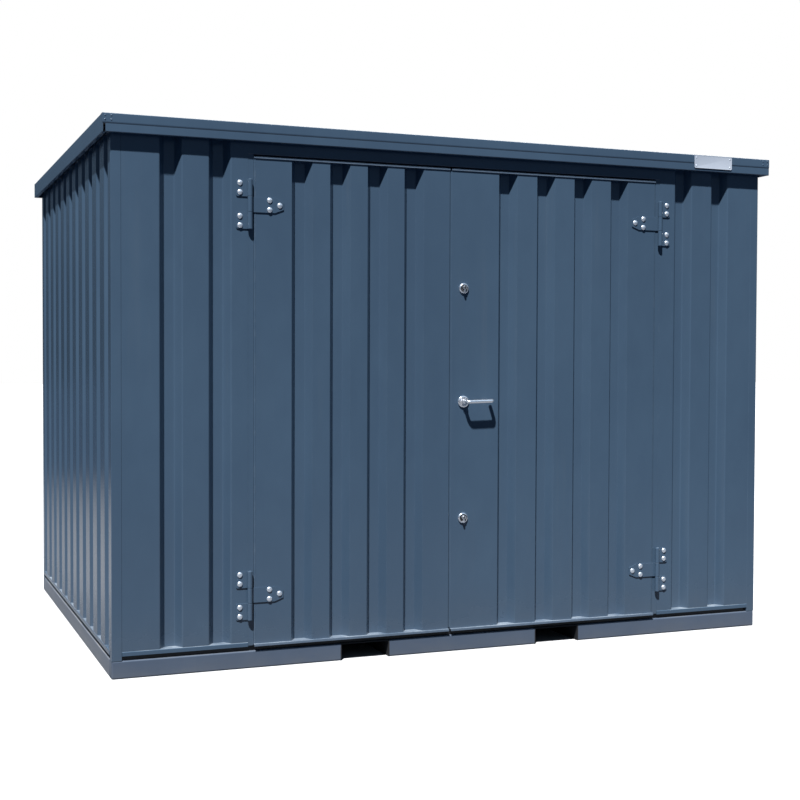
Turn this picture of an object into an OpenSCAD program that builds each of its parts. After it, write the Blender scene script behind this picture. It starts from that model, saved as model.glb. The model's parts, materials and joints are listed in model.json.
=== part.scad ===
// Steel storage container with a two-leaf door in its front wall.
// X runs along the front, -Y is the door side and Z is up; the origin is on the ground, mid-footprint.

/* [Body] */
// Width over the wall sheets
body_w = 2980; // [2500:10:3600]
// Depth over the wall sheets
body_d = 2170; // [1700:10:2800]
// Height from the ground to the roof rim
body_h = 2170; // [1950:10:2600]

/* [Base] */
// Height of the base rails
base_h = 70; // [60:1:120]
// Depth of a base rail's flanges
base_flange = 60; // [40:1:90]
// Wall thickness of the base rails
base_t = 3; // [2:0.5:5]
// Clear width of a fork pocket
pocket_w = 208; // [160:1:260]
// Wall thickness of a fork pocket
pocket_t = 4; // [3:0.5:6]
// Distance between the middles of the two fork pockets
pocket_spacing = 896; // [600:1:1100]
// Number of floor bearers between pocket and side rail, on each side
side_bearers = 2; // [1:1:4]
// Flange width of a floor bearer
bearer_w = 50; // [30:1:80]
// Thickness of the floor deck
deck_t = 18; // [12:1:30]
// Setback of the deck's edge behind the wall face
deck_inset = 12; // [5:1:25]

/* [Walls] */
// Thickness of the wall sheets
sheet_t = 1.5; // [1:0.1:3]
// Depth of the trapezoid valleys
valley_d = 37; // [20:1:38]
// Width of a valley at its mouth
valley_w = 88; // [60:1:110]
// Width of a valley at its floor
valley_floor = 42; // [20:1:55]
// Distance from one valley to the next
valley_pitch = 195; // [150:1:260]
// Least flat width between a wall's end and its first valley
wall_margin = 60; // [50:1:120]
// Side of the square corner posts
post_w = 40; // [40:1:60]
// Wall thickness of posts, jambs, tracks and top rails
frame_t = 2; // [1.5:0.1:3]
// Depth of jambs, header and top rails behind the wall face
frame_d = 48; // [45:1:60]
// Height of the track that the wall sheets stand in
track_h = 18; // [10:1:40]
// How far the track stands proud of the wall face
track_proud = 2; // [0:0.5:4]

/* [Doorway] */
// Width of the left leaf
left_leaf_w = 852; // [750:1:900]
// Width of the right leaf
right_leaf_w = 1000; // [850:1:1020]
// Gap between the two leaves
seam_gap = 8; // [7:0.5:12]
// Offset of the doorway's middle to the right
door_shift = 5; // [-40:1:40]
// Gap between jamb and leaf
hinge_gap = 24; // [20:1:32]
// Width of a door jamb's face
jamb_w = 66; // [60:1:66]
// Setback of the lip that closes the gap between a jamb and its leaf
lip_back = 5; // [5:0.5:8]
// Clearance between that lip and the leaf
lip_gap = 5; // [5:0.5:8]
// From the left jamb's inner edge to the first wall valley
left_valley_gap = 70; // [70:1:110]
// From the right jamb's inner edge to the first wall valley
right_valley_gap = 80; // [70:1:110]
// Underside of the leaves above the deck
leaf_rise = 6; // [5:0.5:12]
// Clearance between the leaves and the header
head_gap = 7; // [5:0.5:15]
// Height of the header over the doorway
header_h = 58; // [40:1:100]
// Width of the door stop strips
stop_w = 37; // [32:1:42]
// Thickness of the door stop strips
stop_t = 3; // [2:0.5:4]
// Clearance between the top stop strip and the leaves' frames
stop_gap = 6; // [5:0.5:10]
// Height of the threshold angle
threshold_h = 20; // [10:1:20]

/* [Leaves] */
// Valleys pressed in each leaf
leaf_valleys = 4; // [2:1:4]
// Flat margin of the left leaf at the hinges
left_hinge_margin = 157; // [145:1:170]
// Flat margin of the left leaf at the seam
left_seam_margin = 119; // [80:1:130]
// Flat margin of the right leaf at the hinges
right_hinge_margin = 142; // [142:1:170]
// Flat margin of the right leaf at the seam
right_seam_margin = 221; // [150:1:230]
// Thickness of the caps on top of and under a leaf
cap_t = 4; // [3:0.5:5]
// How far the top cap stands proud of the leaf
top_cap_proud = 4; // [2:0.5:6]
// Height of the top cap's lip
top_lip_h = 8; // [6:0.5:12]
// How far the drip edge stands proud of the leaf
drip_proud = 12; // [6:0.5:12]
// Height of the drip edge's lip
drip_lip_h = 10; // [6:0.5:12]
// Width of the leaf's inner frame tubes
tube_w = 30; // [25:1:40]
// Depth of the frame tubes behind the valleys
tube_d = 28; // [20:1:35]
// Inset of the frame from the hinge edge
hinge_inset = 30; // [25:1:40]
// Inset of the frame from the seam edge
seam_inset = 15; // [12:1:25]
// Inset of the frame from the leaf's top and bottom
end_inset = 30; // [30:1:45]

/* [Hinges] */
// Hinge axis in front of the wall face
axis_proud = 12; // [12:0.5:14]
// Hinge axis beside the jamb's inner edge
axis_from_jamb = 5; // [5:0.5:7]
// Outside diameter of the hinge barrel
barrel_od = 20; // [18:0.5:21]
// Diameter of the hinge pin
pin_d = 10; // [8:0.5:12]
// Radial clearance round the hinge pin
pin_gap = 0.3; // [0.2:0.05:0.4]
// Height of the whole barrel
barrel_h = 196; // [160:1:240]
// Height of the strap and its knuckle
strap_h = 60; // [40:1:80]
// Reach of the strap from the axis
strap_l = 141; // [110:1:141]
// Cut at the strap's corners
strap_cut = 20; // [10:1:28]
// Reach of the fixed tabs from the axis
tab_l = 55; // [40:1:62]
// Height of a fixed tab
tab_h = 66; // [50:1:66]
// Thickness of straps and tabs
plate_t = 4; // [4:0.5:5]
// Gap between knuckles
knuckle_gap = 1; // [0.5:0.1:2]
// Middle of the lower hinges above the leaf's underside
low_hinge = 200; // [150:1:400]
// Middle of the upper hinges below the leaf's top
high_hinge = 192; // [150:1:400]

/* [Handle and locks] */
// From the right leaf's seam edge to the handle's axis
backset = 57; // [45:1:90]
// Height of the lever handle's axis
lever_z = 1062; // [900:1:1250]
// Height of the lower lock
low_lock_z = 567; // [350:1:800]
// Height of the upper lock
high_lock_z = 1542; // [1350:1:1700]
// Diameter of the handle's rose
rose_d = 50; // [40:1:60]
// Thickness of the rose
rose_t = 8; // [5:0.5:12]
// Diameter of the lever's neck
neck_d = 16; // [12:0.5:20]
// Clearance round the lever's neck
neck_gap = 0.4; // [0.2:0.05:0.5]
// Diameter of the lever's grip
grip_d = 18; // [14:0.5:22]
// Middle of the grip in front of the leaf
grip_out = 49; // [45:1:65]
// Length of the grip from its axis to the outside of the bend
grip_l = 128; // [110:1:150]
// Bend radius at the end of the grip
bend_r = 16; // [12:1:20]
// How far the bent end reaches past its bend
return_l = 8; // [2:1:10]
// Diameter of a lock's rosette
lock_d = 45; // [35:1:55]
// Thickness of a lock's rosette
lock_t = 9; // [5:0.5:12]
// Diameter of a lock's barrel
lock_barrel_d = 24; // [18:0.5:30]
// Reach of a lock's barrel in front of the leaf
lock_out = 26; // [15:1:40]

/* [Roof] */
// Overhang of the roof on every side
roof_overhang = 35; // [20:1:60]
// Height of the roof fascia
fascia_h = 72; // [60:1:110]
// Thickness of the fascia sheet
fascia_t = 2; // [1.5:0.1:3]
// Width of the fascia's top flange
fascia_flange = 40; // [25:1:60]
// Width of the fascia's bottom lip
fascia_lip = 15; // [8:1:20]
// Height of the front fascia's lower band
band_h = 36; // [20:1:50]
// How far the lower band stops short of each corner
band_gap = 12; // [0:1:30]
// Height of the top rails
rail_h = 38; // [25:1:60]
// Height of the roof ribs with the sheet
rib_h = 20; // [12:1:20]
// Width of a roof rib at its foot
rib_w = 70; // [50:1:90]
// Width of a roof rib's top
rib_top = 30; // [15:1:40]
// Distance from one roof rib to the next
rib_pitch = 200; // [150:1:300]
// Thickness of the roof sheet
roof_t = 1.5; // [1:0.1:3]
// Number of roof beams
beam_count = 4; // [2:1:6]
// Width of a roof beam's flanges
beam_w = 40; // [25:1:60]
// Width of the blank plate on the front fascia
plate_w = 200; // [80:1:300]
// Height of the blank plate
plate_h = 56; // [30:1:56]
// Thickness of the blank plate
plate_d = 1.5; // [1:0.1:3]
// Middle of the blank plate, from the right end of the roof
plate_inset = 308; // [200:1:600]

/* [Hidden] */
$fn = 64;

paint = [0.28, 0.37, 0.46];
base_paint = [0.33, 0.38, 0.46];
zinc = [0.72, 0.74, 0.76];
ply = [0.62, 0.50, 0.34];

eps = 0.01;
weld_gap = 0.3;

half_w = body_w / 2;
half_d = body_d / 2;
y_front = -half_d;
deck_z = base_h + deck_t;
sheet_z = deck_z + track_h;
roof_z = body_h - fascia_t - rib_h;
rail_z = roof_z - rail_h;
header_z = rail_z - header_h;
leaf_z0 = deck_z + leaf_rise;
leaf_z1 = header_z - head_gap;
leaf_d = valley_d + sheet_t;

doorway_w = 2 * hinge_gap + left_leaf_w + seam_gap + right_leaf_w;
door_x0 = door_shift - doorway_w / 2;
door_x1 = door_shift + doorway_w / 2;
left_leaf_x = door_x0 + hinge_gap;
right_leaf_x = door_x1 - hinge_gap;
left_span = half_w - post_w + door_x0;
right_span = half_w - post_w - door_x1;
axis_x = -axis_from_jamb;
hinge_zs = [leaf_z0 + low_hinge, leaf_z1 - high_hinge];
handle_x = right_leaf_x - right_leaf_w + backset;

roof_x = half_w + roof_overhang;
roof_y = half_d + roof_overhang;
fascia_z = body_h - fascia_h;

// How far the inner corner of a bent sheet lies from the outer one
function bend_shift(run, depth, t) = t * (norm([run, depth]) - run) / depth;

// Mouth positions of the valleys that fit on a wall of length l, evenly about its middle
function centred_starts(l, pitch, w, margin) =
    let (n = floor((l - 2 * margin - w) / pitch) + 1)
    [for (i = [0:n - 1]) (l - (n - 1) * pitch - w) / 2 + i * pitch];

// Mouth positions of the valleys that fit from x0 to x1, counted from x0
function counted_starts(x0, x1, pitch, w) =
    [for (i = [0:floor((x1 - x0 - w) / pitch)]) x0 + i * pitch];

// Outer line of a folded sheet: flat at y = 0, with valleys of depth d that reach to +y
function fold_line(starts, w, floor_w, d, k, y) = let (run = (w - floor_w) / 2)
    [for (s = starts) each [[s - k, y], [s + run - k, d + y], [s + w - run + k, d + y], [s + w + k, y]]];

function flip(points) = [for (i = [len(points) - 1:-1:0]) points[i]];

// Section of a folded sheet from x0 to x1, with its end flanges turned in by ret
module fold_section(x0, x1, starts, w, floor_w, d, t, ret = 0) {
    k = bend_shift((w - floor_w) / 2, d, t);
    outer = concat(ret > 0 ? [[x0, ret]] : [], [[x0, 0]], fold_line(starts, w, floor_w, d, 0, 0),
        [[x1, 0]], ret > 0 ? [[x1, ret]] : []);
    e = ret > 0 ? t : 0;
    inner = concat(ret > 0 ? [[x0 + e, ret]] : [], [[x0 + e, t]], fold_line(starts, w, floor_w, d, k, t),
        [[x1 - e, t]], ret > 0 ? [[x1 - e, ret]] : []);
    polygon(concat(outer, flip(inner)));
}

// Folded sheet standing from z0 to z1
module standing_sheet(x0, x1, starts, z0, z1, ret = 0) {
    translate([0, 0, z0])
        linear_extrude(z1 - z0)
            fold_section(x0, x1, starts, valley_w, valley_floor, valley_d, sheet_t, ret);
}

// Channel along X with its web on the -Y side and its flanges turned to +Y
module channel(l, d, h, t) {
    difference() {
        cube([l, d, h]);
        translate([-1, t, t]) cube([l + 2, d, h - 2 * t]);
    }
}

// Upside-down channel along X, open to the ground
module track(l, d, h, t) {
    difference() {
        cube([l, d, h]);
        translate([-1, t, -1]) cube([l + 2, d - 2 * t, h + 1 - t]);
    }
}

// Square tube along Z
module upright_tube(w, d, h, t) {
    difference() {
        cube([w, d, h]);
        translate([t, t, -1]) cube([w - 2 * t, d - 2 * t, h + 2]);
    }
}

// Square tube along X
module lying_tube(l, d, h, t) {
    difference() {
        cube([l, d, h]);
        translate([-1, t, t]) cube([l + 2, d - 2 * t, h - 2 * t]);
    }
}

// Frames of reference: x runs outwards from the doorway's edge, y into the container
module left_of_door() translate([door_x0, y_front, 0]) mirror([1, 0, 0]) children();
module right_of_door() translate([door_x1, y_front, 0]) children();

// Frames of reference of the leaves: x runs from the hinge edge to the seam
module on_left_leaf() translate([left_leaf_x, y_front, 0]) children();
module on_right_leaf() translate([right_leaf_x, y_front, 0]) mirror([1, 0, 0]) children();

// Frames of reference of the four sides: x runs along the wall from its middle, y into the container
module on_front() translate([0, y_front, 0]) children();
module on_rear() rotate([0, 0, 180]) translate([0, -half_d, 0]) children();
module on_left() rotate([0, 0, -90]) translate([0, -half_w, 0]) children();
module on_right() rotate([0, 0, 90]) translate([0, -half_w, 0]) children();

pocket_out = pocket_w / 2 + pocket_t;

// Base rail of the front or rear, in three lengths beside and between the fork pockets
module long_base_rail() {
    outer_l = half_w - pocket_spacing / 2 - pocket_out;
    color(base_paint) {
        for (side = [0, 1]) mirror([side, 0, 0]) {
            translate([-half_w, 0, 0]) channel(outer_l, base_flange, base_h, base_t);
            translate([-half_w, 0, 0]) cube([base_t, base_flange, base_h]);
        }
        translate([pocket_out - pocket_spacing / 2, 0, 0])
            channel(pocket_spacing - 2 * pocket_out, base_flange, base_h, base_t);
    }
}

module base_rail_front() on_front() long_base_rail();
module base_rail_rear() on_rear() long_base_rail();

module short_base_rail() {
    l = body_d - 2 * base_flange;
    color(base_paint) translate([-l / 2, 0, 0]) channel(l, base_flange, base_h, base_t);
}

module base_rail_left() on_left() short_base_rail();
module base_rail_right() on_right() short_base_rail();

module fork_pockets() {
    color(base_paint)
        for (side = [-1, 1])
            translate([side * pocket_spacing / 2 + pocket_out, -half_d, 0]) rotate([0, 0, 90])
                track(body_d, 2 * pocket_out, base_h, pocket_t);
}

module floor_bearers() {
    l = body_d - 2 * base_flange;
    x0 = pocket_spacing / 2 + pocket_out;
    step = (half_w - base_flange - x0) / (side_bearers + 1);
    xs = [for (i = [1:side_bearers], side = [-1, 1]) side * (x0 + i * step)];
    color(base_paint)
        for (x = concat([0], xs))
            translate([x + bearer_w / 2, -l / 2, 0]) rotate([0, 0, 90])
                channel(l, bearer_w, base_h, base_t);
}

module floor_deck() {
    corner = post_w - deck_inset;
    color(ply) difference() {
        translate([deck_inset - half_w, deck_inset - half_d, base_h])
            cube([body_w - 2 * deck_inset, body_d - 2 * deck_inset, deck_t]);
        for (sx = [0, 1], sy = [0, 1]) mirror([sx, 0, 0]) mirror([0, sy, 0])
            translate([half_w - post_w, half_d - post_w, base_h - 1])
                cube([corner + 1, corner + 1, deck_t + 2]);
    }
}

module door_threshold() {
    l = doorway_w - 2 * (stop_w + weld_gap);
    color(zinc) on_front() translate([door_shift - l / 2, frame_d - stop_t, deck_z]) {
        cube([l, stop_t, threshold_h]);
        cube([l, frame_d / 2, stop_t]);
    }
}

module sill_track(l) translate([0, -track_proud, deck_z]) track(l, post_w + track_proud, track_h, frame_t);

module sill_tracks() {
    short_l = body_d - 2 * post_w - 2 * weld_gap;
    long_l = body_w - 2 * post_w;
    color(paint) {
        left_of_door() sill_track(left_span);
        right_of_door() sill_track(right_span);
        on_rear() translate([-long_l / 2, 0, 0]) sill_track(long_l);
        on_left() translate([-short_l / 2, 0, 0]) sill_track(short_l);
        on_right() translate([-short_l / 2, 0, 0]) sill_track(short_l);
    }
}

module corner_post(sx, sy) {
    color(paint) mirror([sx, 0, 0]) mirror([0, sy, 0])
        translate([-half_w, -half_d, base_h]) upright_tube(post_w, post_w, roof_z - base_h, frame_t);
}

module corner_post_front_left() corner_post(0, 0);
module corner_post_front_right() corner_post(1, 0);
module corner_post_rear_left() corner_post(0, 1);
module corner_post_rear_right() corner_post(1, 1);

// Wall sheet over a whole side of length l, ending at the corner posts
module side_sheet(l) {
    starts = [for (s = centred_starts(l, valley_pitch, valley_w, wall_margin)) s - l / 2];
    color(paint) standing_sheet(post_w - l / 2, l / 2 - post_w, starts, sheet_z, rail_z);
}

module left_wall() on_left() side_sheet(body_d);
module right_wall() on_right() side_sheet(body_d);
module rear_wall() on_rear() side_sheet(body_w);

// Wall sheet between a door jamb and the corner post
module front_sheet(span, valley_gap) {
    starts = counted_starts(valley_gap, span - wall_margin / 2, valley_pitch, valley_w);
    color(paint) standing_sheet(jamb_w, span, starts, sheet_z, rail_z);
}

module front_wall_left() left_of_door() front_sheet(left_span, left_valley_gap);
module front_wall_right() right_of_door() front_sheet(right_span, right_valley_gap);

// Jamb tube on the sill track, with a lip down to the deck beside the leaf's edge
module door_jamb() {
    lip_w = hinge_gap - lip_gap;
    color(paint) {
        translate([0, 0, sheet_z]) upright_tube(jamb_w, frame_d, rail_z - sheet_z, frame_t);
        translate([-lip_w, lip_back, deck_z]) cube([lip_w - weld_gap, frame_t, sheet_z - deck_z]);
        translate([-lip_w, lip_back, sheet_z]) cube([lip_w + frame_t / 2, frame_t, header_z - weld_gap - sheet_z]);
    }
}

module door_jamb_left() left_of_door() door_jamb();
module door_jamb_right() right_of_door() door_jamb();

module door_header() {
    color(paint) on_front() translate([door_x0, 0, header_z]) lying_tube(doorway_w, frame_d, header_h, frame_t);
}

// Strips that the closed leaves lie in front of: one at each jamb and one under the header
module door_stops() {
    top_h = head_gap + end_inset - stop_gap;
    top_z = header_z - top_h;
    color(paint) on_front() {
        for (x = [door_x0, door_x1 - stop_w])
            translate([x, frame_d - stop_t, deck_z]) cube([stop_w, stop_t, top_z - weld_gap - deck_z]);
        translate([door_x0, frame_d - stop_t, top_z]) cube([doorway_w, stop_t, top_h]);
    }
}

module top_rail(l) translate([-l / 2, 0, rail_z]) channel(l, frame_d, rail_h, frame_t);

module top_rails() {
    long_l = body_w - 2 * post_w;
    short_l = body_d - 2 * frame_d - 2 * weld_gap;
    color(paint) {
        on_front() top_rail(long_l);
        on_rear() top_rail(long_l);
        on_left() top_rail(short_l);
        on_right() top_rail(short_l);
    }
}

module roof_beams() {
    l = body_d - 2 * frame_d;
    step = body_w / (beam_count + 1);
    color(paint)
        for (i = [1:beam_count])
            translate([i * step - half_w + beam_w / 2, -l / 2, rail_z]) rotate([0, 0, 90])
                channel(l, beam_w, rail_h, frame_t);
}

module roof_sheet() {
    l = 2 * (roof_x - fascia_t);
    w = 2 * (roof_y - fascia_t);
    starts = centred_starts(l, rib_pitch, rib_w, fascia_flange);
    color(paint) translate([-l / 2, w / 2, roof_z]) rotate([90, 0, 0])
        linear_extrude(w) fold_section(0, l, starts, rib_w, rib_top, rib_h - roof_t, roof_t);
}

// Fascia along X with its web on the -Y side; cut shortens its flange and lip at each end
module fascia(l, flange_cut = 0, lip_cut = 0) {
    translate([-l / 2, 0, fascia_z]) cube([l, fascia_t, fascia_h]);
    translate([flange_cut - l / 2, 0, body_h - fascia_t]) cube([l - 2 * flange_cut, fascia_flange, fascia_t]);
    translate([lip_cut - l / 2, 0, fascia_z]) cube([l - 2 * lip_cut, fascia_lip, fascia_t]);
}

module long_fascia() translate([0, -roof_overhang, 0]) fascia(2 * roof_x, fascia_t, fascia_t);

module short_fascia() {
    color(paint) translate([0, -roof_overhang, 0])
        fascia(2 * (roof_y - fascia_t), fascia_flange - fascia_t, fascia_lip - fascia_t);
}

module roof_fascia_front() {
    color(paint) on_front() difference() {
        long_fascia();
        for (side = [0, 1]) mirror([side, 0, 0])
            translate([roof_x - band_gap, -roof_overhang - 1, fascia_z - 1])
                cube([band_gap + 1, fascia_t + 1 + eps, band_h + 1]);
    }
}

module roof_fascia_rear() color(paint) on_rear() long_fascia();
module roof_fascia_left() on_left() short_fascia();
module roof_fascia_right() on_right() short_fascia();

module blank_plate() {
    x = roof_x - plate_inset - plate_w / 2;
    z = fascia_z + (fascia_h - plate_h) * 0.8;
    color("white") on_front() translate([x, -roof_overhang - plate_d, z]) cube([plate_w, plate_d, plate_h]);
}

// Fixed half of a hinge: two tabs on the jamb, their knuckles and the pin
module hinge_plate(z) {
    knuckle_l = (barrel_h - strap_h) / 2 - knuckle_gap;
    for (side = [0, 1]) translate([0, 0, z]) mirror([0, 0, side]) {
        translate([axis_x, -plate_t, strap_h / 2 + knuckle_gap]) cube([tab_l, plate_t, tab_h]);
        translate([axis_x, -axis_proud, strap_h / 2 + knuckle_gap]) cylinder(h = knuckle_l, d = barrel_od);
    }
    translate([axis_x, -axis_proud, z - barrel_h / 2]) cylinder(h = barrel_h, d = pin_d);
}

module hinge_plates_left() color(paint) left_of_door() for (z = hinge_zs) hinge_plate(z);
module hinge_plates_right() color(paint) right_of_door() for (z = hinge_zs) hinge_plate(z);

// Moving half of a hinge: a pointed strap on the leaf with one knuckle round the pin
module hinge_strap(z) {
    x = axis_from_jamb - hinge_gap;
    half = strap_h / 2;
    translate([x, 0, z]) difference() {
        union() {
            rotate([90, 0, 0]) linear_extrude(plate_t)
                polygon([[0, -half], [strap_l - strap_cut, -half], [strap_l, strap_cut - half],
                    [strap_l, half - strap_cut], [strap_l - strap_cut, half], [0, half]]);
            translate([0, -axis_proud, -half]) cylinder(h = strap_h, d = barrel_od);
        }
        translate([0, -axis_proud, -half - 1]) cylinder(h = strap_h + 2, d = pin_d + 2 * pin_gap);
    }
}

module left_hinge_straps() color(paint) on_left_leaf() for (z = hinge_zs) hinge_strap(z);
module right_hinge_straps() color(paint) on_right_leaf() for (z = hinge_zs) hinge_strap(z);

// Pressed sheet of a leaf, with its edges turned in
module leaf_panel(w, hinge_margin, seam_margin) {
    step = (w - hinge_margin - seam_margin - valley_w) / (leaf_valleys - 1);
    starts = [for (i = [0:leaf_valleys - 1]) hinge_margin + i * step];
    color(paint) standing_sheet(0, w, starts, leaf_z0 + cap_t, leaf_z1 - cap_t, leaf_d);
}

module left_leaf_panel() on_left_leaf() leaf_panel(left_leaf_w, left_hinge_margin, left_seam_margin);
module right_leaf_panel() on_right_leaf() leaf_panel(right_leaf_w, right_hinge_margin, right_seam_margin);

// Inner frame of a leaf: two stiles behind the flat margins and three rails across the valleys
module leaf_frame(w) {
    z0 = leaf_z0 + end_inset;
    z1 = leaf_z1 - end_inset;
    stile_d = valley_d + tube_d;
    rail_x = hinge_inset + tube_w + weld_gap;
    rail_l = w - seam_inset - tube_w - weld_gap - rail_x;
    color(paint) {
        for (x = [hinge_inset, w - seam_inset - tube_w])
            translate([x, sheet_t, z0]) upright_tube(tube_w, stile_d, z1 - z0, frame_t);
        for (z = [z0, (z0 + z1 - tube_w) / 2, z1 - tube_w])
            translate([rail_x, leaf_d, z]) lying_tube(rail_l, tube_d, tube_w, frame_t);
    }
}

module left_leaf_frame() on_left_leaf() leaf_frame(left_leaf_w);
module right_leaf_frame() on_right_leaf() leaf_frame(right_leaf_w);

// Caps that close a leaf: a lipped one on top and a drip edge under it
module leaf_caps(w) {
    color(paint) {
        translate([0, -top_cap_proud, leaf_z1 - cap_t]) cube([w, leaf_d + top_cap_proud, cap_t]);
        translate([0, -top_cap_proud, leaf_z1 - top_lip_h]) cube([w, top_cap_proud, top_lip_h]);
        translate([0, -drip_proud, leaf_z0]) cube([w, leaf_d + drip_proud, cap_t]);
        translate([0, -drip_proud, leaf_z0 + cap_t - drip_lip_h]) cube([w, cap_t / 2, drip_lip_h]);
    }
}

module left_leaf_caps() on_left_leaf() leaf_caps(left_leaf_w);
module right_leaf_caps() on_right_leaf() leaf_caps(right_leaf_w);

// Frame of reference of the leaf furniture: z runs out of the leaf's face
module on_leaf_face(z) translate([handle_x, y_front, z]) rotate([90, 0, 0]) children();

module handle_rose() {
    color(zinc) on_leaf_face(lever_z) difference() {
        cylinder(h = rose_t, d = rose_d);
        translate([0, 0, -1]) cylinder(h = rose_t + 2, d = neck_d + 2 * neck_gap);
    }
}

module door_locks() {
    color(zinc)
        for (z = [low_lock_z, high_lock_z]) on_leaf_face(z) {
            cylinder(h = lock_t, d = lock_d);
            cylinder(h = lock_out, d = lock_barrel_d);
        }
}

// Lever: a neck in the rose, a straight grip and an end bent back to the leaf
module lever_handle() {
    straight_l = grip_l - grip_d / 2 - bend_r;
    color(zinc) on_leaf_face(lever_z) {
        translate([0, 0, neck_gap]) cylinder(h = grip_out - neck_gap, d = neck_d);
        translate([0, 0, grip_out]) sphere(d = grip_d);
        translate([0, 0, grip_out]) rotate([0, 90, 0]) cylinder(h = straight_l, d = grip_d);
        translate([straight_l, 0, grip_out - bend_r]) rotate([90, 0, 0])
            rotate_extrude(angle = 90) translate([bend_r, 0]) circle(d = grip_d);
        translate([straight_l + bend_r, 0, grip_out - bend_r - return_l]) cylinder(h = return_l, d = grip_d);
    }
}

base_rail_front();
base_rail_rear();
base_rail_left();
base_rail_right();
fork_pockets();
floor_bearers();
floor_deck();
door_threshold();
sill_tracks();
corner_post_front_left();
corner_post_front_right();
corner_post_rear_left();
corner_post_rear_right();
front_wall_left();
front_wall_right();
left_wall();
right_wall();
rear_wall();
door_jamb_left();
door_jamb_right();
door_header();
door_stops();
top_rails();
roof_beams();
roof_sheet();
roof_fascia_front();
roof_fascia_rear();
roof_fascia_left();
roof_fascia_right();
blank_plate();
hinge_plates_left();
hinge_plates_right();
left_leaf_panel();
left_leaf_frame();
left_leaf_caps();
left_hinge_straps();
right_leaf_panel();
right_leaf_frame();
right_leaf_caps();
right_hinge_straps();
handle_rose();
door_locks();
lever_handle();
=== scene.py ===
import json
import math

import bmesh
import bpy
from mathutils import Euler, Matrix, Vector


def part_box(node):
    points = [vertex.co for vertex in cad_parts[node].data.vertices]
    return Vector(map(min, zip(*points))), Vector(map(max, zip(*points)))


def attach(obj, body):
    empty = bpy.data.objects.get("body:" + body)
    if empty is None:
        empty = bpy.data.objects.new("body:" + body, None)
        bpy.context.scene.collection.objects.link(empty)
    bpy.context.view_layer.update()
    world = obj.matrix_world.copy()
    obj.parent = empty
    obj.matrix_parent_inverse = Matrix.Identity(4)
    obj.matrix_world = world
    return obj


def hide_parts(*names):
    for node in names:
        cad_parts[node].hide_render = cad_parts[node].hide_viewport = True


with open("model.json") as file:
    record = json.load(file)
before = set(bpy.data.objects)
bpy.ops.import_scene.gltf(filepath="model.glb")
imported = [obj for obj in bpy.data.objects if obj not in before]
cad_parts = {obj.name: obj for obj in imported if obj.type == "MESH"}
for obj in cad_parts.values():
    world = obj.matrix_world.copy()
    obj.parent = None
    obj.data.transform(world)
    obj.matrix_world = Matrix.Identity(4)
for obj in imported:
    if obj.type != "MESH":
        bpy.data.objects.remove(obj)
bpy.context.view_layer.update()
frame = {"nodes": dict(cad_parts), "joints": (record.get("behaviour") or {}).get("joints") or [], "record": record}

nodes = frame["nodes"]
membersOf = frame["record"]["behaviour"]["bodies"]
bodyOf = {node: body for body in membersOf for node in membersOf[body]}
slotOf = {row["node"]: row["material_slot"] for row in frame["record"]["subparts"]}


def addObject(name, data):
    added = bpy.data.objects.new(name, data)
    bpy.context.scene.collection.objects.link(added)
    return added


# --- the room: camera, floor and lights ---

cameraSettings = {
    "place": (-2.3434, -6.2151, 1.2365),
    "turn": 21.742,      # degrees to the right of straight at the doors
    "dip": 1.6,
    "roll": 0.203,
    "lens": 59.67,
    "shiftY": -0.0033,
}


def makeCamera(s):
    data = bpy.data.cameras.new("frontCamera")
    data.lens = s["lens"]
    data.sensor_width = 36.0
    data.shift_y = s["shiftY"]
    data.clip_end = 200.0
    camera = addObject("frontCamera", data)
    camera.location = s["place"]
    angles = (math.radians(90 - s["dip"]), math.radians(-s["roll"]), math.radians(-s["turn"]))
    camera.rotation_euler = Euler(angles, "XYZ")
    bpy.context.scene.camera = camera


lightSettings = {
    "sunWay": (0.28, 0.42, -0.86),    # the way the light travels
    "sunStrength": 6.0,
    "sunSoftness": 1.8,               # degrees
    "fillWay": (-0.42, -0.72, -0.55),    # a soft second light that only the back and the right side see
    "fillStrength": 2.2,
    "fillSoftness": 40.0,
    "skyColor": (0.46, 0.70, 1.0, 1.0),
    "skyStrength": 0.075,
    "glossHorizon": 0.06,             # what glossy surfaces mirror low and high in the studio
    "glossZenith": 0.85,
    "glossRise": (0.05, 0.75),        # the change between the two, as the height of the ray's direction
    "floorSize": 60.0,
    "floorBounce": (0.025, 0.040, 0.065, 1.0),
    "floorSeen": (0.74, 0.74, 0.75, 1.0),
    "floorGloss": 0.50,               # share of the pale floor mirrored by glossy surfaces, at the left
    "frontGloss": 0.27,               # the same share in front of the doors
    "glossSpan": (-2.4, -1.4),        # from the left share to the front share, along X
    "glossReach": (2.5, 9.0),         # from here to there the mirrored floor fades out
}


def background(tree, color, strength):
    node = tree.nodes.new("ShaderNodeBackground")
    node.inputs["Color"].default_value = color
    node.inputs["Strength"].default_value = strength
    return node


def mixShaders(tree, share, first, second):
    node = tree.nodes.new("ShaderNodeMixShader")
    tree.links.new(share, node.inputs[0])
    tree.links.new(first, node.inputs[1])
    tree.links.new(second, node.inputs[2])
    return node.outputs[0]


def mathNode(tree, operation, first, second=None, clamp=False):
    node = tree.nodes.new("ShaderNodeMath")
    node.operation = operation
    node.use_clamp = clamp
    for slot, value in ((0, first), (1, second)):
        if value is None:
            continue
        if isinstance(value, (int, float)):
            node.inputs[slot].default_value = value
        else:
            tree.links.new(value, node.inputs[slot])
    return node.outputs[0]


def rangeNode(tree, value, fromLow, fromHigh, toLow, toHigh):
    node = tree.nodes.new("ShaderNodeMapRange")
    numbers = {"From Min": fromLow, "From Max": fromHigh, "To Min": toLow, "To Max": toHigh}
    for label, number in numbers.items():
        node.inputs[label].default_value = number
    tree.links.new(value, node.inputs["Value"])
    return node.outputs[0]


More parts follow.
